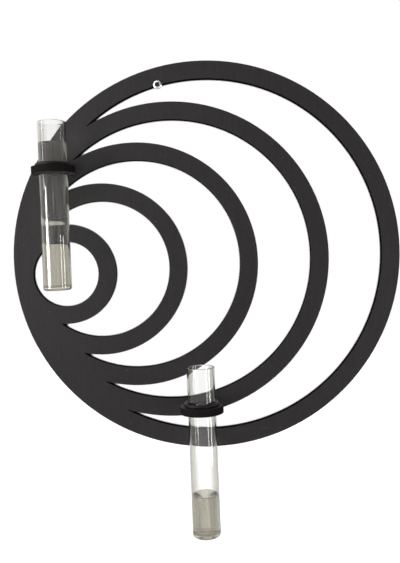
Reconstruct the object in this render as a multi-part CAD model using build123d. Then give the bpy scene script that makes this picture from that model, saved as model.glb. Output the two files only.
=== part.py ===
from build123d import *
import math
import os

# A wall vase for rooting cuttings: a flat sheet cut into nested off-centre rings hangs on one screw,
# and two rings that stand out of it each hold a glass test tube by a rubber ring.
# Millimetres. X to the right, Y into the wall, Z up. The wall is the plane y = 0, and the origin is
# on the axis of the hanging screw, where the screw enters the wall.

# Ring panel, cut from one sheet
panel_diameter = 355.6
sheet_thickness = 6.35
band_width = 16.3
ring_count = 5
smallest_ring_diameter = 91.8
ring_touch_margin = 0.36
ring_shift_angle = 186.1
gap_tip_radius = 0.2

# The hole in the smallest ring: how much more radius it has than an even band would leave it, and how
# much further over it stands than its ring
centre_hole_widening = 0.4
centre_hole_shift = 0.6

# Hanging screw, and the half-round notch over it in the inner edge of the outer band
notch_angle = 104.0
shank_radius = 1.9
thread_radius = 2.1
thread_length = 20.0
point_length = 5.0
point_flat_radius = 0.3
head_radius = 4.1
head_height = 2.6
head_crown_radius = 1.5
head_gap = 0.4
recess_width = 1.1
recess_length = 4.6
recess_depth = 1.5
notch_clearance = 0.1

# Glass tubes
tube_radius = 12.5
tube_wall = 1.2
tube_length = 150.0
tube_base = 3.0
tube_foot_radius = 2.5
tube_floor_radius = 2.0
tube_rim_radius = 0.5

# Rubber grip rings, squashed flat where they press on the glass and on the holder
grip_section_radius = 1.75
grip_squash = 0.12
grip_seat_gap = 0.05

# Holders, cut from the same sheet
holder_ring_width = 6.1
holder_hole_clearance = 0.6
holder_reach = 20.0
neck_width = 24.0
tab_width = 18.0
tab_recess = 0.3
glue_gap = 0.1

# Places of the holders: both are on the second band, at an angle about its own centre. The upper one
# sits further in from the band's outer edge, just past the gap's tip, where the bands grow together.
holder_band = 1
upper_holder_past_tip = 7.43
upper_holder_inset = 14.15
lower_holder_angle = -80.43
lower_holder_inset = band_width / 2

# How far each tube stands above the top of its holder
upper_tube_rise = 40.0
lower_tube_rise = 34.1

# One overrun serves all cuts
cut_overrun = 2.0

panel_radius = panel_diameter / 2
ring_radius_step = (panel_radius - smallest_ring_diameter / 2) / (ring_count - 1)
ring_shift = ring_radius_step - ring_touch_margin
panel_front = -sheet_thickness
hole_radius = tube_radius + holder_hole_clearance
holder_radius = hole_radius + holder_ring_width
tube_axis_y = panel_front - holder_reach
notch_radius = thread_radius + notch_clearance


def along(angle, distance):
    """X and Z of a point at an angle in degrees, counter-clockwise from +X as seen from the front."""
    return distance * math.cos(math.radians(angle)), distance * math.sin(math.radians(angle))


inner_edge_radius = panel_radius - band_width
notch_from_centre = along(notch_angle, inner_edge_radius)
panel_x = -notch_from_centre[0]
panel_z = -notch_from_centre[1]


def ring_centre(index):
    shift = along(ring_shift_angle, ring_shift * index)
    return panel_x + shift[0], panel_z + shift[1]


def ring_radius(index):
    return panel_radius - ring_radius_step * index


def disc(index, radius):
    """A disc in the sheet's plane, on the centre of one of the nested rings."""
    x, z = ring_centre(index)
    return Pos(x, z) * Circle(radius)


def crescent_gap(index):
    """The pointed gap between one band and the next, its two tips as blunt as the cutter leaves them."""
    gap = disc(index, ring_radius(index) - band_width) - disc(index + 1, ring_radius(index + 1))
    return fillet(gap.vertices(), gap_tip_radius)


def gap_tip_turn(index):
    """Angle at a band's centre between the way the rings shift and the tip of the gap inside the band."""
    inner = ring_radius(index) - band_width
    outer = ring_radius(index + 1)
    cosine = (inner**2 + ring_shift**2 - outer**2) / (2 * inner * ring_shift)
    return math.degrees(math.acos(cosine))


def holder_place(angle, inset):
    """X and Z of the middle of a holder, a given inset from the outer edge of its band."""
    x, z = ring_centre(holder_band)
    offset = along(angle, ring_radius(holder_band) - inset)
    return x + offset[0], z + offset[1]


upper_holder_angle = ring_shift_angle - gap_tip_turn(holder_band) + upper_holder_past_tip
upper_place = holder_place(upper_holder_angle, upper_holder_inset)
lower_place = holder_place(lower_holder_angle, lower_holder_inset)


def centre_hole():
    """The round hole inside the smallest ring."""
    last = ring_count - 1
    x, z = ring_centre(last)
    shift = along(ring_shift_angle, centre_hole_shift)
    radius = ring_radius(last) - band_width + centre_hole_widening
    return Pos(x + shift[0], z + shift[1]) * Circle(radius)


def holder_slot(place):
    """The slot in the sheet that a holder's tab is glued into."""
    slot_width = tab_width + 2 * glue_gap
    slot_height = sheet_thickness + 2 * glue_gap
    return Pos(*place) * Rectangle(slot_width, slot_height)


def make_ring_panel():
    outline = disc(0, panel_radius)
    for index in range(ring_count - 1):
        outline -= crescent_gap(index)
    outline -= centre_hole()
    outline -= Circle(notch_radius)
    outline -= holder_slot(upper_place)
    outline -= holder_slot(lower_place)
    return extrude(Plane.XZ * outline, sheet_thickness)


def make_holder(place):
    """A ring on a square-shouldered neck, whose tab runs into the panel's slot."""
    place_x, place_z = place
    tab_length = -tab_recess - tube_axis_y
    neck = Pos(0, holder_reach / 2) * Rectangle(neck_width, holder_reach)
    tab = Pos(0, tab_length / 2) * Rectangle(tab_width, tab_length)
    outline = Circle(holder_radius) + neck + tab - Circle(hole_radius)
    bottom = place_z - sheet_thickness / 2
    return Pos(place_x, tube_axis_y, bottom) * extrude(outline, sheet_thickness)


def make_tube(place, rise):
    """A straight glass tube with a thick flat base and a rounded rim, standing out above its holder."""
    body = Cylinder(tube_radius, tube_length, align=(Align.CENTER, Align.CENTER, Align.MIN))
    body = fillet(body.edges().group_by(Axis.Z)[0], tube_foot_radius)
    bore_length = tube_length - tube_base + cut_overrun
    bore = Cylinder(tube_radius - tube_wall, bore_length, align=(Align.CENTER, Align.CENTER, Align.MIN))
    bore = fillet(bore.edges().group_by(Axis.Z)[0], tube_floor_radius)
    body -= Pos(0, 0, tube_base) * bore
    body = fillet(body.edges().group_by(Axis.Z)[-1], tube_rim_radius)
    place_x, place_z = place
    foot = place_z + sheet_thickness / 2 + rise - tube_length
    return Pos(place_x, tube_axis_y, foot) * body


def make_grip_ring(place):
    """A rubber ring round the tube, flat on the inside where it grips and flat where it sits."""
    section_centre_r = tube_radius + grip_section_radius - grip_squash
    section_centre_z = grip_section_radius - grip_squash
    section = Pos(section_centre_r, section_centre_z) * Circle(grip_section_radius)
    kept_size = 2 * grip_section_radius
    section &= Pos(tube_radius, 0) * Rectangle(kept_size, kept_size, align=(Align.MIN, Align.MIN))
    ring = revolve(Plane.XZ * section, Axis.Z)
    place_x, place_z = place
    seat = place_z + sheet_thickness / 2 + grip_seat_gap
    return Pos(place_x, tube_axis_y, seat) * ring


def make_hanging_screw():
    """A pan-head wall screw: crossed recess, plain shank through the notch, and point in the wall."""
    head_back = panel_front - head_gap
    head_front = head_back - head_height
    point_start = thread_length
    point_end = thread_length + point_length
    outline = Polyline(
        (0, head_front),
        (head_radius, head_front),
        (head_radius, head_back),
        (shank_radius, head_back),
        (shank_radius, 0),
        (thread_radius, 0),
        (thread_radius, point_start),
        (point_flat_radius, point_end),
        (0, point_end),
        close=True,
    )
    screw = revolve(make_face(outline), Axis.Y)
    screw = fillet(screw.edges().group_by(Axis.Y)[0], head_crown_radius)
    blade = Box(recess_length, 2 * recess_depth, recess_width)
    recess = blade + Rot(0, 90, 0) * blade
    return screw - Pos(0, head_front, 0) * recess


def main():
    os.makedirs("parts", exist_ok=True)
    export_step(make_ring_panel(), "parts/ring_panel.step")
    export_step(make_holder(upper_place), "parts/upper_holder.step")
    export_step(make_holder(lower_place), "parts/lower_holder.step")
    export_step(make_tube(upper_place, upper_tube_rise), "parts/upper_tube.step")
    export_step(make_tube(lower_place, lower_tube_rise), "parts/lower_tube.step")
    export_step(make_grip_ring(upper_place), "parts/upper_grip_ring.step")
    export_step(make_grip_ring(lower_place), "parts/lower_grip_ring.step")
    export_step(make_hanging_screw(), "parts/hanging_screw.step")


main()
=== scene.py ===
import math

import bmesh
import bpy
from mathutils import Matrix, Quaternion, Vector


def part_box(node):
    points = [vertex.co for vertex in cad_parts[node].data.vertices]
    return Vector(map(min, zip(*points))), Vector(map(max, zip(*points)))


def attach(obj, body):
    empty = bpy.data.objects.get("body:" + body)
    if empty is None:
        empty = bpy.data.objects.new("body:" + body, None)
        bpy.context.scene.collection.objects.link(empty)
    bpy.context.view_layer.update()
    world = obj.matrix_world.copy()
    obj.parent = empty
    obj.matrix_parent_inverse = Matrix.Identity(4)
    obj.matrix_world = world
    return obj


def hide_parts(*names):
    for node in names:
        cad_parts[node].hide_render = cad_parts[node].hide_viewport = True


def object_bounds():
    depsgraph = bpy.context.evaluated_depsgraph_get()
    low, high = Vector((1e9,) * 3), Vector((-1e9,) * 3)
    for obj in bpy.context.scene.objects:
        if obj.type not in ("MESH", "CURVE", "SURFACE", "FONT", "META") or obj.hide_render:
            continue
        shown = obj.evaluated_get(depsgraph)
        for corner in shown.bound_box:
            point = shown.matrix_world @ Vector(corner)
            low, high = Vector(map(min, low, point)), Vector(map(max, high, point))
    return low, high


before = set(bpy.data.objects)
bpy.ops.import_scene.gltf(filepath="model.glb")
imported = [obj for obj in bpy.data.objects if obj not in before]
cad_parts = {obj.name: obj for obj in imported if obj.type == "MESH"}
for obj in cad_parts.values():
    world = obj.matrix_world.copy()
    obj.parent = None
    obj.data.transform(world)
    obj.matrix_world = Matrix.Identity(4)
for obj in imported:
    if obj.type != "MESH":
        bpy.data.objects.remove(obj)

cad_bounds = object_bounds()

# Places read from the frame, in metres
panel_low, panel_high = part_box("ring_panel")
screw_low, screw_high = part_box("hanging_screw")
panel_x = (panel_low[0] + panel_high[0]) / 2
panel_z = (panel_low[2] + panel_high[2]) / 2
panel_front = panel_low[1]
panel_back = panel_high[1]
panel_radius = (panel_high[0] - panel_low[0]) / 2

# The photograph's view: distance of the lens, tilt of the piece, and the lens's axis in the picture's pixels
view_distance = 0.6
hang_tilt = math.radians(2.3)
photo_width = 400
photo_height = 563
axis_px_x = 206.63
axis_px_y = 256.57
focal_px = 651.4
axis_off_centre_x = -0.0002
axis_off_centre_z = -0.0029
sensor_width = 36.0

# Glass tubes. The foot is pushed up over a share of the radius, and the floor inside by a share of that
glass_wall = 0.0012
glass_base = 0.003
foot_radius = 0.0025
floor_radius = 0.002
rim_radius = 0.0006
push_up = 0.0008
punt_share = 0.75
inner_rise_share = 0.6

# Water in the tubes: its level above each foot, how far it runs into the glass, and how it climbs the wall
water_levels = {"upper_tube": 0.1297, "lower_tube": 0.0357}
water_into_glass = 0.00004
meniscus_height = 0.0016
meniscus_reach = 0.0018
meniscus_width_share = 0.6
meniscus_steps = 12

# How finely turned pieces are drawn, when a point is on the axis, and how far a hard corner turns
lathe_segments = 128
arc_steps = 8
wall_steps = 4
punt_steps = 8
corner_ease = 0.0003
on_axis = 1e-7
hard_corner = math.radians(40)
quarter_turn = math.radians(90)

# Room light: its brightest corner, how bright it is away from that and at it, and what it gains behind
bright_corner = (-0.85, -0.2, 0.48)
room_dark = 0.14
room_bright = 0.65
room_behind = 0.35

# Hanging screw: head, shank and root
screw_head_height = 0.0026
screw_crown_radius = 0.0016
screw_head_edge = 0.0003
screw_shank_radius = 0.0019
screw_neck_ease = 0.0004
screw_shank_past_wall = 0.0004
screw_root_radius = 0.00145
screw_root_run_in = 0.0008
screw_point_length = 0.005
screw_point_radius = 0.0002
screw_segments = 64
screw_edge_steps = 3

# Its thread. The shares are of the pitch, of the ridge's half width, of the core's radius and of the depth
thread_pitch = 0.0016
thread_depth = 0.00065
thread_segments = 40
thread_run_in = 0.0006
thread_point_core = 0.00015
thread_fade_out_share = 0.8
thread_half_width_share = 0.3
thread_crest_share = 0.16
thread_sunk_share = 0.8
thread_point_depth_share = 0.45
thread_corner = math.radians(35)

# Its crossed recess. The shares are of the arm, the width, the flare and the depth
recess_arm = 0.0047
recess_width = 0.0014
recess_flare = 0.0023
recess_depth = 0.0017
recess_floor_arm_share = 0.45
recess_floor_width_share = 0.7
recess_flare_front_share = 1.6
recess_flare_back_share = 0.4
recess_flare_depth_share = 1.6
recess_flare_segments = 24

# Floor of the stage, well below the piece, its glow, and how much of that metal and glass mirror
floor_drop = 1.0
floor_reach = 9.0
floor_glow = 0.8
floor_mirrored_share = 0.2

# Wall of the stage, in the gaps of the panel: how near things darken it, and how open a spot has to be
wall_inset = 0.001
wall_gap = 0.0001
wall_shade_reach = 0.003
wall_shade_samples = 16
wall_dark_below = 0.52
wall_white_above = 0.62

# Lens clipping
nearest_seen = 0.01
farthest_seen = 100.0

# Surfaces: depth of their relief, reach and strength of eased edges, size of specks, and how they bend light
paint_relief = 0.00012
cut_relief = 0.0002
glass_relief = 0.00003
water_relief = 0.00004
rubber_relief = 0.00003
zinc_relief = 0.00002
paint_edge_ease = 0.0004
paint_rub_reach = 0.0005
edge_samples = 6
edge_gain = 4.0
speck_core_share = 0.6
glass_index = 1.5
water_index = 1.333
water_cloud_share = 0.05

# How patterns are drawn out: along the grain, across the sheet's edge, and down a tube
grain_stretch = (14.0, 14.0, 0.7)
rib_stretches = {"Y": (1.0, 0.03, 1.0), "Z": (1.0, 1.0, 0.03)}
drawn_stretch = (1.0, 1.0, 0.02)
band_stretch = (1.0, 1.0, 0.015)
smear_stretch = (1.0, 1.0, 0.5)
scuff_stretch = (1.0, 0.2, 1.0)

# Colours
white = (1.0, 1.0, 1.0, 1.0)
paint_dark = (0.0068, 0.0058, 0.0062, 1.0)
paint_pale = (0.0265, 0.0226, 0.0242, 1.0)
paint_speck = (0.11, 0.105, 0.1, 1.0)
paint_rubbed = (0.05, 0.046, 0.044, 1.0)
# The panel's cut walls are a darker copy of the holder's: painted shade of the narrow gaps over their real
# scorch
panel_walls_with_painted_shade = ((0.003, 0.0026, 0.0025, 1.0), (0.008, 0.007, 0.0066, 1.0))
holder_walls = ((0.0065, 0.0058, 0.0058, 1.0), (0.014, 0.0124, 0.0122, 1.0))
glass_clear = (0.985, 0.985, 0.98, 1.0)
# Painted shade on the glass's edges
glass_edge_painted_shade = (0.66, 0.655, 0.61, 1.0)
# Painted view of a shaded beige wall through the base and foot of the glass
glass_base_painted_wall = (0.63, 0.6, 0.5, 1.0)
glass_foot_painted_wall = (0.45, 0.42, 0.34, 1.0)
lamp_shade_tint = (0.93, 0.95, 0.94, 1.0)
# Painted view of a shaded beige wall seen through the water, in dark and pale streaks, and its lighter rims
upper_water_painted_wall_tints = ((0.335, 0.309, 0.244, 1.0), (0.565, 0.529, 0.436, 1.0))
lower_water_painted_wall_tints = ((0.225, 0.21, 0.162, 1.0), (0.465, 0.44, 0.35, 1.0))
water_rim_painted_tint = (0.95, 0.93, 0.87, 1.0)
water_clouds = ((0.1, 0.098, 0.115, 1.0), (0.95, 0.93, 1.0, 1.0))
rubber_dark = (0.007, 0.007, 0.0072, 1.0)
rubber_bloom = (0.02, 0.0195, 0.019, 1.0)
zinc_dull = (0.86, 0.86, 0.85, 1.0)
zinc_bright = (0.95, 0.95, 0.94, 1.0)
# Painted shade for the driver recess
recess_dark = (0.02, 0.02, 0.021, 1.0)
recess_pale = (0.07, 0.068, 0.066, 1.0)
floor_tones = ((0.86, 0.86, 0.86, 1.0), (0.9, 0.9, 0.9, 1.0))
wall_shade = (0.003, 0.0028, 0.0028, 1.0)

# Lamps: shape, place from the middle of the panel, width, height, watts, and lean
lamps = {
    "key": ("ELLIPSE", (-0.94, -0.56, -0.062), 0.38, 0.52, 10.0, math.radians(30)),
    "top": ("RECTANGLE", (-0.45, -0.7, 0.7), 0.5, 0.5, 4.2, 0.0),
    "left_strip": ("RECTANGLE", (-1.16, -0.3, 0.295), 0.1, 0.24, 0.6, 0.0),
    "near_strip": ("RECTANGLE", (0.65, -0.63, -0.205), 0.08, 0.55, 1.6, 0.0),
    "far_strip": ("RECTANGLE", (0.92, -0.28, -0.205), 0.08, 0.55, 3.0, 0.0),
}


class Signal:
    """A shader socket that is added, multiplied and compared like a number."""

    def __init__(self, tree, socket):
        self.tree = tree
        self.socket = socket

    def maths(self, operation, *values, clamp=False):
        made = self.tree.nodes.new("ShaderNodeMath")
        made.operation = operation
        made.use_clamp = clamp
        for slot, value in zip(made.inputs, values):
            feed(self.tree, slot, value)
        return Signal(self.tree, made.outputs[0])

    def __add__(self, other):
        return self.maths("ADD", self, other)

    def __radd__(self, other):
        return self.maths("ADD", other, self)

    def __sub__(self, other):
        return self.maths("SUBTRACT", self, other)

    def __rsub__(self, other):
        return self.maths("SUBTRACT", other, self)

    def __mul__(self, other):
        return self.maths("MULTIPLY", self, other)

    def __rmul__(self, other):
        return self.maths("MULTIPLY", other, self)

    def __truediv__(self, other):
        return self.maths("DIVIDE", self, other)

    def __gt__(self, other):
        return self.maths("GREATER_THAN", self, other)

    def __abs__(self):
        return self.maths("ABSOLUTE", self)

    def clamped(self):
        return self.maths("ADD", self, 0.0, clamp=True)

    def ramp(self, low, high):
        """0 below low, 1 above high, and an even slope between them."""
        return ((self - low) / (high - low)).clamped()


def feed(tree, slot, value):
    if isinstance(value, Signal):
        tree.links.new(value.socket, slot)
    else:
        slot.default_value = value


class Shading:
    """A node tree being filled: one method adds any node by its type, settings and socket values."""

    def __init__(self, tree):
        self.tree = tree
        self.tree.nodes.clear()

    def node(self, kind, output=0, settings=None, sockets=None):
        made = self.tree.nodes.new(kind)
        for key, value in (settings or {}).items():
            setattr(made, key, value)
        for key, value in (sockets or {}).items():
            feed(self.tree, made.inputs[key], value)
        return Signal(self.tree, made.outputs[output]) if made.outputs else None

    def ray(self, kind):
        return self.node("ShaderNodeLightPath", kind)

    def part(self, axis, vector):
        """One component of a vector."""
        return self.node("ShaderNodeSeparateXYZ", axis, None, {"Vector": vector})

    def blend(self, share, first, second):
        """One surface over another, by a share that may vary over the surface."""
        return self.node("ShaderNodeMixShader", 0, None, {0: share, 1: first, 2: second})

    def seen_as_background(self, behind):
        """1 for the lens's own rays and for those that go on through glass, which see the background. Rays
        that were mirrored on their way see as much of it as the given share."""
        straight = self.ray("Is Transmission Ray") * (1 - (self.ray("Glossy Depth") > 0.5))
        turned = self.ray("Is Glossy Ray") + self.ray("Is Transmission Ray")
        return (self.ray("Is Camera Ray") + straight + turned * behind).clamped()


class Finish(Shading):
    """A material being mixed."""

    def __init__(self, name):
        self.material = bpy.data.materials.new(name)
        self.material.use_nodes = True
        super().__init__(self.material.node_tree)

    def place(self):
        return self.node("ShaderNodeTexCoord", "Object")

    def stretched(self, scale):
        """Object coordinates times a scale along each axis."""
        settings = {"operation": "MULTIPLY"}
        return self.node("ShaderNodeVectorMath", 0, settings, {0: self.place(), 1: scale})

    def noise(self, scale, detail=2.0, rough=0.5, stretch=(1.0, 1.0, 1.0)):
        sockets = {"Vector": self.stretched(stretch), "Scale": scale, "Detail": detail, "Roughness": rough}
        return self.node("ShaderNodeTexNoise", 0, None, sockets)

    def specks(self, scale, size):
        """Scattered round specks: 1 inside each, 0 between them."""
        sockets = {"Vector": self.place(), "Scale": scale}
        cells = self.node("ShaderNodeTexVoronoi", "Distance", {"feature": "F1"}, sockets)
        return 1 - cells.ramp(size * speck_core_share, size)

    def side(self, axis):
        """How squarely a surface faces along one of the object's axes, 0 to 1."""
        return abs(self.part(axis, self.node("ShaderNodeTexCoord", "Normal")))

    def rounded_normal(self, radius):
        """The normal of the surface with its edges eased to a small radius."""
        return self.node("ShaderNodeBevel", 0, {"samples": edge_samples}, {"Radius": radius})

    def edge(self, radius):
        """1 at a hard edge, falling to 0 at a radius from it."""
        eased = self.rounded_normal(radius)
        plain = self.node("ShaderNodeNewGeometry", "Normal")
        settings = {"operation": "DOT_PRODUCT"}
        agreement = self.node("ShaderNodeVectorMath", "Value", settings, {0: eased, 1: plain})
        return ((1 - agreement) * edge_gain).clamped()

    def slant(self):
        """How far a surface turns away from the eye: 0 face on, 1 edge on."""
        return self.node("ShaderNodeLayerWeight", "Facing", None, {"Blend": 0.5})

    def mix(self, share, first, second):
        """One colour over another, by a share that may vary over the surface."""
        return self.node("ShaderNodeMix", 2, {"data_type": "RGBA"}, {0: share, 6: first, 7: second})

    def bump(self, height, depth, strength=1.0, normal=None):
        sockets = {"Height": height, "Distance": depth, "Strength": strength}
        if normal is not None:
            sockets["Normal"] = normal
        return self.node("ShaderNodeBump", 0, None, sockets)

    def shader(self, sockets):
        return self.node("ShaderNodeBsdfPrincipled", 0, None, sockets)

    def glow(self, colour, strength):
        return self.node("ShaderNodeEmission", 0, None, {"Color": colour, "Strength": strength})

    def done(self, surface):
        self.node("ShaderNodeOutputMaterial", 0, None, {"Surface": surface})
        return self.material


def sheet_paint(name, sheet_axis, dark_wall, pale_wall):
    """Matt charcoal paint on a cut sheet: even on the faces, scorched and ribbed on the cut walls. The cut
    walls take the tones given, which on the panel are darkened with painted shade over the real scorch.
    """
    finish = Finish(name)
    face = finish.side(sheet_axis).ramp(0.5, 0.8)
    cloud = finish.noise(9.0, 3.0)
    mottle = finish.noise(420.0, 4.0, 0.6)
    grain = finish.noise(60.0, 5.0, 0.65, grain_stretch)
    dust = finish.specks(190.0, 0.09) * (finish.noise(70.0, 1.0) > 0.62)
    ribs = finish.noise(900.0, 2.0, 0.5, rib_stretches[sheet_axis])
    face_shade = (cloud * 0.3 + mottle * 0.6 + grain * 0.7 - 0.3).clamped()
    colour = finish.mix(face_shade, paint_dark, paint_pale)
    colour = finish.mix(dust * 0.8, colour, paint_speck)
    rub = finish.edge(paint_rub_reach) * finish.noise(160.0, 3.0).ramp(0.5, 0.75)
    colour = finish.mix(rub * 0.5, colour, paint_rubbed)
    eased = finish.rounded_normal(paint_edge_ease)
    paint = finish.shader({
        "Base Color": colour, "Roughness": 0.5 + mottle * 0.16 - dust * 0.1,
        "Normal": finish.bump(mottle * 0.35 + grain * 0.4 + dust * 0.8, paint_relief, 0.6, eased),
        "Specular IOR Level": 0.22,
    })
    cut_colour = finish.mix(ribs, dark_wall, pale_wall)
    cut = finish.shader({
        "Base Color": finish.mix(rub * 0.3, cut_colour, paint_rubbed), "Roughness": 0.8 + ribs * 0.15,
        "Normal": finish.bump(ribs, cut_relief, 0.6, eased), "Specular IOR Level": 0.0,
    })
    return finish.done(finish.blend(face, cut, paint))


def lets_lamps_through(finish, clear_surface):
    """Clear surface that still lets the lamps light what is behind it."""
    clear = finish.node("ShaderNodeBsdfTransparent", 0, None, {"Color": lamp_shade_tint})
    return finish.blend(finish.ray("Is Shadow Ray"), clear_surface, clear)


def tube_glass():
    """Clear drawn glass with faint draw lines and a few dried drops. Its edges carry painted shade, and its
    foot and the lower sides of its base a painted beige-grey that stands for the shaded wall seen through
    them.
    """
    finish = Finish("tube_glass")
    draw_lines = finish.noise(260.0, 2.0, 0.5, drawn_stretch)
    smear = finish.noise(38.0, 3.0, 0.6, smear_stretch).ramp(0.55, 0.8)
    drops = finish.specks(210.0, 0.16) * (finish.noise(45.0, 1.0) > 0.6)
    rough = 0.004 + smear * 0.03 + drops * 0.05
    normal = finish.bump(draw_lines * 0.6, glass_relief, 0.5)
    # Painted shade: the glass darkens as it turns edge on to the eye
    painted_edge_shade = finish.slant().ramp(0.05, 0.3)
    colour = finish.mix(painted_edge_shade, glass_clear, glass_edge_painted_shade)
    # Painted shade: the foot and the sides of the base take the beige-grey of a shaded wall seen through
    # them
    height = finish.part("Z", finish.node("ShaderNodeTexCoord", "Generated"))
    base_side_painted_wall = (1 - height.ramp(0.022, 0.034)) * (1 - finish.side("Z").ramp(0.3, 0.7))
    colour = finish.mix(base_side_painted_wall, colour, glass_base_painted_wall)
    foot = 1 - height.ramp(0.01, 0.018)
    colour = finish.mix(foot, colour, glass_foot_painted_wall)
    surface = finish.shader({
        "Base Color": colour, "Roughness": rough, "Normal": normal,
        "IOR": glass_index, "Transmission Weight": 1.0,
    })
    return finish.done(lets_lamps_through(finish, surface))


def clear_water(name, dark_painted_wall, pale_painted_wall):
    """Standing water with a thin grey cloud in it. Its colour is painted shade, the beige-grey of a shaded
    wall seen through it, with faint streaks down it and lighter towards the rims.
    """
    finish = Finish(name)
    ripple = finish.noise(120.0, 2.0)
    rough = 0.004 + finish.noise(60.0, 3.0) * 0.02
    # Painted shade: the beige-grey of a shaded wall seen through the water, streaked, and lighter towards
    # the rims
    streaks = finish.noise(620.0, 2.0, 0.6, drawn_stretch).ramp(0.35, 0.65)
    colour = finish.mix(streaks, dark_painted_wall, pale_painted_wall)
    colour = finish.mix(finish.slant().ramp(0.1, 0.27), colour, water_rim_painted_tint)
    clear = finish.shader({
        "Base Color": colour, "Roughness": rough, "Normal": finish.bump(ripple, water_relief, 0.4),
        "IOR": water_index, "Transmission Weight": 1.0,
    })
    bands = finish.noise(780.0, 1.0, 0.5, band_stretch).ramp(0.43, 0.57)
    cloud_colour = finish.mix(bands, *water_clouds)
    cloud = finish.shader({"Base Color": cloud_colour, "Roughness": 1.0, "Specular IOR Level": 0.0})
    return finish.done(lets_lamps_through(finish, finish.blend(water_cloud_share, clear, cloud)))


def black_rubber():
    """Satin moulded rubber with a dusty bloom."""
    finish = Finish("grip_rubber")
    bloom = finish.noise(240.0, 4.0, 0.6)
    pits = finish.noise(1900.0, 2.0)
    colour = finish.mix(bloom.ramp(0.4, 0.75), rubber_dark, rubber_bloom)
    surface = finish.shader({
        "Base Color": colour, "Roughness": 0.36 + bloom * 0.22,
        "Normal": finish.bump(pits, rubber_relief, 0.5), "Specular IOR Level": 0.15,
    })
    return finish.done(surface)


def zinc_plate():
    """Bright zinc plate, faintly clouded, rubbed on its edges."""
    finish = Finish("zinc_plate")
    cloud = finish.noise(700.0, 3.0)
    scuffs = finish.noise(2600.0, 2.0, 0.5, scuff_stretch)
    colour = finish.mix(cloud, zinc_dull, zinc_bright)
    surface = finish.shader({
        "Base Color": colour, "Roughness": 0.3 + scuffs * 0.16, "Metallic": 1.0,
        "Normal": finish.bump(scuffs, zinc_relief, 0.4),
    })
    return finish.done(surface)


def recess_shadow():
    """Painted shade in the driver recess: dull, dark, mottled metal."""
    finish = Finish("recess_shadow")
    recess_shade_mottle = finish.noise(2200.0, 3.0)
    colour = finish.mix(recess_shade_mottle, recess_dark, recess_pale)
    surface = finish.shader({
        "Base Color": colour, "Roughness": 0.5 + recess_shade_mottle * 0.2, "Metallic": 0.3,
        "Normal": finish.bump(recess_shade_mottle, zinc_relief, 0.5),
    })
    return finish.done(surface)


def arc(centre_r, centre_z, radius, start, end, steps=arc_steps):
    """Points of a profile's round corner, from one angle to another in degrees."""
    points = []
    for step in range(steps + 1):
        turn = math.radians(start + (end - start) * step / steps)
        points.append((centre_r + radius * math.cos(turn), centre_z + radius * math.sin(turn)))
    return points


def lathe(name, profile, centre, axis="Z", segments=lathe_segments):
    """A smooth solid turned about an axis. The profile is radius and height, from axis to axis."""
    work = bmesh.new()
    rings = []
    for radius, height in profile:
        if radius < on_axis:
            rings.append([work.verts.new((0.0, 0.0, height))])
            continue
        ring = []
        for segment in range(segments):
            turn = 2 * math.pi * segment / segments
            ring.append(work.verts.new((radius * math.cos(turn), radius * math.sin(turn), height)))
        rings.append(ring)
    for lower, upper in zip(rings, rings[1:]):
        for segment in range(segments):
            after = (segment + 1) % segments
            corners = [lower[segment % len(lower)], lower[after % len(lower)]]
            corners += [upper[after % len(upper)], upper[segment % len(upper)]]
            work.faces.new(list(dict.fromkeys(corners)))
    bmesh.ops.recalc_face_normals(work, faces=work.faces)
    turn = Matrix.Identity(4) if axis == "Z" else Matrix.Rotation(-quarter_turn, 4, "X")
    bmesh.ops.transform(work, matrix=Matrix.Translation(Vector(centre)) @ turn, verts=work.verts)
    piece = as_object(name, work)
    piece.data.set_sharp_from_angle(angle=hard_corner)
    return piece


def wall(radius, start, end):
    """Points up or down a straight wall. Those next to its ends keep the round shading to the ends."""
    ease = corner_ease if end > start else -corner_ease
    points = [(radius, start + ease)]
    for step in range(1, wall_steps):
        points.append((radius, start + (end - start) * step / wall_steps))
    points.append((radius, end - ease))
    return points


def punt(reach, rise, base):
    """Points of a floor pushed up in the middle, from the axis outwards."""
    points = []
    for step in range(punt_steps + 1):
        share = step / punt_steps
        points.append((reach * share, base + rise * (1 + math.cos(math.pi * share)) / 2))
    return points


def as_object(name, work):
    mesh = bpy.data.meshes.new(name)
    work.to_mesh(mesh)
    work.free()
    for face in mesh.polygons:
        face.use_smooth = True
    piece = bpy.data.objects.new(name, mesh)
    bpy.context.scene.collection.objects.link(piece)
    return piece


def tube_size(node):
    """Axis, radius, foot and mouth of a tube, from its place in the frame."""
    low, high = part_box(node)
    centre = ((low[0] + high[0]) / 2, (low[1] + high[1]) / 2)
    return centre, (high[0] - low[0]) / 2, low[2], high[2]


def make_tube(node, body, glass):
    """A drawn glass tube: flat foot pushed up in the middle, thick floor and melted rim."""
    centre, radius, foot, mouth = tube_size(node)
    bore = radius - glass_wall
    height = mouth - foot
    inner_floor = glass_base + floor_radius
    profile = punt(radius * punt_share, push_up, 0.0)
    profile += arc(radius - foot_radius, foot_radius, foot_radius, -90, 0)
    profile += wall(radius, foot_radius, height - rim_radius)
    profile += arc(radius - rim_radius, height - rim_radius, rim_radius, 0, 180)
    profile += wall(bore, height - rim_radius, inner_floor)
    profile += arc(bore - floor_radius, inner_floor, floor_radius, 0, -90)
    profile += punt(bore * punt_share, push_up * inner_rise_share, glass_base)[::-1]
    piece = lathe(node + "_glass", profile, (centre[0], centre[1], foot))
    piece.data.materials.append(glass)
    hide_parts(node)
    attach(piece, body)


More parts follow.
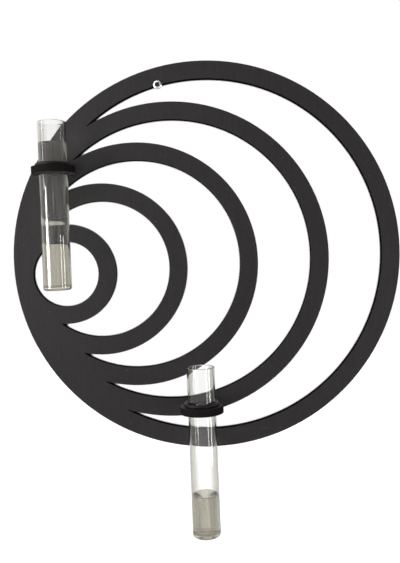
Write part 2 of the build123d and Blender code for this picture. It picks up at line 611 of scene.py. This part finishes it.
def make_water(node, body, water):
    """The water in a tube, its top drawn up where it wets the glass."""
    centre, radius, foot, mouth = tube_size(node)
    wet_radius = radius - glass_wall + water_into_glass
    floor = glass_base - water_into_glass
    level = water_levels[node]
    profile = punt(wet_radius * punt_share, push_up * inner_rise_share, floor)
    profile += arc(wet_radius - floor_radius, floor + floor_radius, floor_radius, -90, 0)
    profile += wall(wet_radius, floor + floor_radius, level + meniscus_height)
    for step in range(meniscus_steps + 1):
        off_wall = (wet_radius * meniscus_width_share) * (step / meniscus_steps) ** 2
        height = level + meniscus_height * math.exp(-off_wall / meniscus_reach)
        profile.append((wet_radius - off_wall, height))
    profile.append((0.0, level))
    piece = lathe(node + "_water", profile, (centre[0], centre[1], foot))
    piece.data.materials.append(water)
    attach(piece, body)


def make_screw(zinc, dark):
    """A pan-head screw with a crossed recess, plain shank and cut thread."""
    head_front = screw_low[1]
    head_radius = (screw_high[0] - screw_low[0]) / 2
    crown = screw_crown_radius
    edge = screw_head_edge
    neck = screw_neck_ease
    tip = screw_high[1] - head_front
    root_start = panel_back - head_front + screw_shank_past_wall
    profile = [(0.0, 0.0)]
    profile += arc(head_radius - crown, crown, crown, 270, 360)
    profile += arc(head_radius - edge, screw_head_height - edge, edge, 0, 90, screw_edge_steps)
    profile.append((screw_shank_radius + neck, screw_head_height))
    profile.append((screw_shank_radius, screw_head_height + neck))
    profile.append((screw_shank_radius, root_start))
    profile.append((screw_root_radius, root_start + screw_root_run_in))
    profile.append((screw_root_radius, tip - screw_point_length))
    profile.append((screw_point_radius, tip))
    profile.append((0.0, tip))
    piece = lathe("screw_body", profile, (0.0, head_front, 0.0), "Y", screw_segments)
    piece.data.materials.append(zinc)
    piece.data.materials.append(dark)
    cut_recess(piece, head_front)
    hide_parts("hanging_screw")
    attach(piece, "screw")
    thread = make_thread(head_front + root_start + thread_run_in, screw_high[1])
    thread.data.materials.append(zinc)
    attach(thread, "screw")


def cut_recess(piece, head_front):
    """Cuts the tapered cross into the head."""
    work = bmesh.new()
    for turn in (0.0, quarter_turn):
        made = bmesh.ops.create_cube(work, size=1.0)["verts"]
        for vert in made:
            deep = vert.co.y > 0
            vert.co.x *= recess_arm * (recess_floor_arm_share if deep else 1.0)
            vert.co.z *= recess_width * (recess_floor_width_share if deep else 1.0)
            vert.co.y = recess_depth if deep else -recess_depth
        bmesh.ops.rotate(work, verts=made, matrix=Matrix.Rotation(turn, 3, "Y"))
    flare = bmesh.ops.create_cone(
        work, segments=recess_flare_segments, radius1=recess_flare * recess_flare_front_share,
        radius2=recess_flare * recess_flare_back_share, depth=recess_depth * recess_flare_depth_share,
        cap_ends=True)["verts"]
    bmesh.ops.rotate(work, verts=flare, matrix=Matrix.Rotation(-quarter_turn, 3, "X"))
    bmesh.ops.translate(work, verts=work.verts, vec=(0.0, head_front, 0.0))
    cutter = as_object("recess_cutter", work)
    # The recess's faces take the painted shade
    cutter.data.materials.append(piece.data.materials[1])
    cut = piece.modifiers.new("recess", "BOOLEAN")
    cut.operation = "DIFFERENCE"
    cut.solver = "EXACT"
    cut.use_self = True
    cut.material_mode = "TRANSFER"
    cut.object = cutter
    evaluated = piece.evaluated_get(bpy.context.evaluated_depsgraph_get())
    shaped = bpy.data.meshes.new_from_object(evaluated)
    piece.modifiers.remove(cut)
    piece.data = shaped
    bpy.data.objects.remove(cutter)
    shaped.set_sharp_from_angle(angle=hard_corner)


def make_thread(start_y, end_y):
    """One helical ridge of a wood screw, fading in at the shank and down to the point."""
    length = end_y - start_y
    turns = length / thread_pitch
    steps = int(turns * thread_segments)
    work = bmesh.new()
    rows = []
    for step in range(steps + 1):
        along = length * step / steps
        turn = 2 * math.pi * along / thread_pitch
        left = length - along
        taper = min(1.0, left / screw_point_length)
        core = screw_root_radius * taper + thread_point_core * (1 - taper)
        fade = min(1.0, along / thread_pitch) * min(1.0, left / (thread_pitch * thread_fade_out_share))
        depth_share = thread_point_depth_share + (1 - thread_point_depth_share) * taper
        crest = core + thread_depth * fade * depth_share
        half = thread_pitch * thread_half_width_share
        flat = half * thread_crest_share
        inner = core * thread_sunk_share
        section = [(inner, -half), (crest, -flat), (crest, flat), (inner, half)]
        row = []
        for radius, offset in section:
            depth = min(max(along + offset, 0.0), length)
            row.append(work.verts.new((radius * math.cos(turn), start_y + depth, radius * math.sin(turn))))
        rows.append(row)
    for first, second in zip(rows, rows[1:]):
        for corner in range(len(first)):
            after = (corner + 1) % len(first)
            work.faces.new((first[corner], first[after], second[after], second[corner]))
    work.faces.new(rows[0])
    work.faces.new(rows[-1][::-1])
    bmesh.ops.recalc_face_normals(work, faces=work.faces)
    piece = as_object("screw_thread", work)
    piece.data.set_sharp_from_angle(angle=thread_corner)
    return piece


def dress(node, material):
    """Gives a carried-over node its finish."""
    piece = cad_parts[node]
    piece.data.materials.clear()
    piece.data.materials.append(material)


def make_camera():
    """Looks straight at the sheet, rolled by the angle at which the piece hung."""
    data = bpy.data.cameras.new("view")
    data.sensor_width = sensor_width
    data.lens = sensor_width * focal_px / photo_height
    data.shift_x = (photo_width / 2 - axis_px_x) / photo_height
    data.shift_y = (axis_px_y - photo_height / 2) / photo_height
    data.clip_start = nearest_seen
    data.clip_end = farthest_seen
    camera = bpy.data.objects.new("view", data)
    right = Vector((math.cos(hang_tilt), 0.0, -math.sin(hang_tilt)))
    up = Vector((math.sin(hang_tilt), 0.0, math.cos(hang_tilt)))
    back = Vector((0.0, -1.0, 0.0))
    turn = Matrix((right, up, back)).transposed().to_4x4()
    eye = Vector((panel_x + axis_off_centre_x, panel_front - view_distance, panel_z + axis_off_centre_z))
    camera.matrix_world = Matrix.Translation(eye) @ turn
    bpy.context.scene.collection.objects.link(camera)
    bpy.context.scene.camera = camera


def make_flat(name, corners):
    """One flat face through the given corners."""
    work = bmesh.new()
    work.faces.new([work.verts.new(corner) for corner in corners])
    return as_object(name, work)


def make_floor():
    """A wide pale floor, well below where the piece hangs."""
    level = cad_bounds[0][2] - floor_drop
    sides = [(-1, -1), (1, -1), (1, 1), (-1, 1)]
    floor = make_flat("floor", [(floor_reach * x, floor_reach * y, level) for x, y in sides])
    finish = Finish("pale_floor")
    tone = finish.mix(finish.noise(1.2, 2.0), *floor_tones)
    matt = finish.shader({"Base Color": tone, "Roughness": 0.9})
    lifted = finish.node("ShaderNodeAddShader", 0, None, {0: matt, 1: finish.glow(white, floor_glow)})
    seen = finish.seen_as_background(floor_mirrored_share)
    floor.data.materials.append(finish.done(finish.blend(seen, matt, lifted)))


def make_wall():
    """The white wall that shows in the gaps of the panel, with painted shade where a gap is narrow and at
    the foot of the cut walls. The lens sees it from the front and through clear glass, and it lights and
    shades nothing."""
    reach = panel_radius - wall_inset
    depth = panel_back + wall_gap
    turns = [2 * math.pi * segment / lathe_segments for segment in range(lathe_segments)]
    rim = [(panel_x + reach * math.cos(turn), depth, panel_z + reach * math.sin(turn)) for turn in turns]
    backdrop = make_flat("wall", rim)
    finish = Finish("white_wall")
    settings = {"samples": wall_shade_samples}
    open_share = finish.node("ShaderNodeAmbientOcclusion", "AO", settings, {"Distance": wall_shade_reach})
    openness = open_share.ramp(wall_dark_below, wall_white_above)
    # Painted shade: a dark glow where the wall is closed in, white elsewhere
    lit = finish.blend(openness, finish.glow(wall_shade, 1.0), finish.glow(white, 1.0))
    from_front = 1 - finish.node("ShaderNodeNewGeometry", "Backfacing")
    clear = finish.node("ShaderNodeBsdfTransparent")
    surface = finish.blend(finish.seen_as_background(0.0) * from_front, clear, lit)
    backdrop.data.materials.append(finish.done(surface))


def make_world():
    """White to the lens, through glass, and to mirrored rays that run on behind the piece. To everything
    else it is a soft grey room."""
    world = bpy.data.worlds.new("studio")
    world.use_nodes = True
    room = Shading(world.node_tree)
    direction = room.node("ShaderNodeTexCoord", "Generated")
    sockets = {0: direction, 1: bright_corner}
    towards = room.node("ShaderNodeVectorMath", "Value", {"operation": "DOT_PRODUCT"}, sockets)
    behind = room.part("Y", direction).ramp(0.0, 0.3)
    light = room_dark + (room_bright - room_dark) * towards.ramp(0.0, 0.9) + room_behind * behind
    strength = light + (1 - light) * room.seen_as_background(behind)
    sky = room.node("ShaderNodeBackground", 0, None, {"Color": white, "Strength": strength})
    room.node("ShaderNodeOutputWorld", 0, None, {"Surface": sky})
    bpy.context.scene.world = world


def make_lamp(name, shape, place, width, height, watts, lean):
    """A soft box aimed at the middle of the panel, its top leant away from the viewer by an angle."""
    data = bpy.data.lights.new(name, "AREA")
    data.shape = shape
    data.size = width
    data.size_y = height
    data.energy = watts
    lamp = bpy.data.objects.new(name, data)
    target = Vector((panel_x, panel_front, panel_z))
    lamp.location = target + Vector(place)
    lamp.rotation_mode = "QUATERNION"
    aim = (-Vector(place)).to_track_quat("-Z", "Y")
    lamp.rotation_quaternion = aim @ Quaternion((0.0, 0.0, 1.0), lean)
    bpy.context.scene.collection.objects.link(lamp)


def main():
    # The panel's darker wall tones add painted shade in its gaps
    face_paint = sheet_paint("sheet_paint", "Y", *panel_walls_with_painted_shade)
    holder_paint = sheet_paint("holder_paint", "Z", *holder_walls)
    rubber = black_rubber()
    glass = tube_glass()
    # Each water's colour is painted shade of a wall seen through it
    waters = {
        "upper_tube": clear_water("upper_water", *upper_water_painted_wall_tints),
        "lower_tube": clear_water("lower_water", *lower_water_painted_wall_tints),
    }
    dress("ring_panel", face_paint)
    dress("upper_holder", holder_paint)
    dress("lower_holder", holder_paint)
    dress("upper_grip_ring", rubber)
    dress("lower_grip_ring", rubber)
    for node, body in (("upper_tube", "upper_vial"), ("lower_tube", "lower_vial")):
        make_tube(node, body, glass)
        make_water(node, body, waters[node])
    make_screw(zinc_plate(), recess_shadow())
    make_floor()
    make_wall()
    make_world()
    for name, lamp in lamps.items():
        make_lamp(name, *lamp)
    bpy.context.scene.view_settings.view_transform = "Standard"
    make_camera()


main()
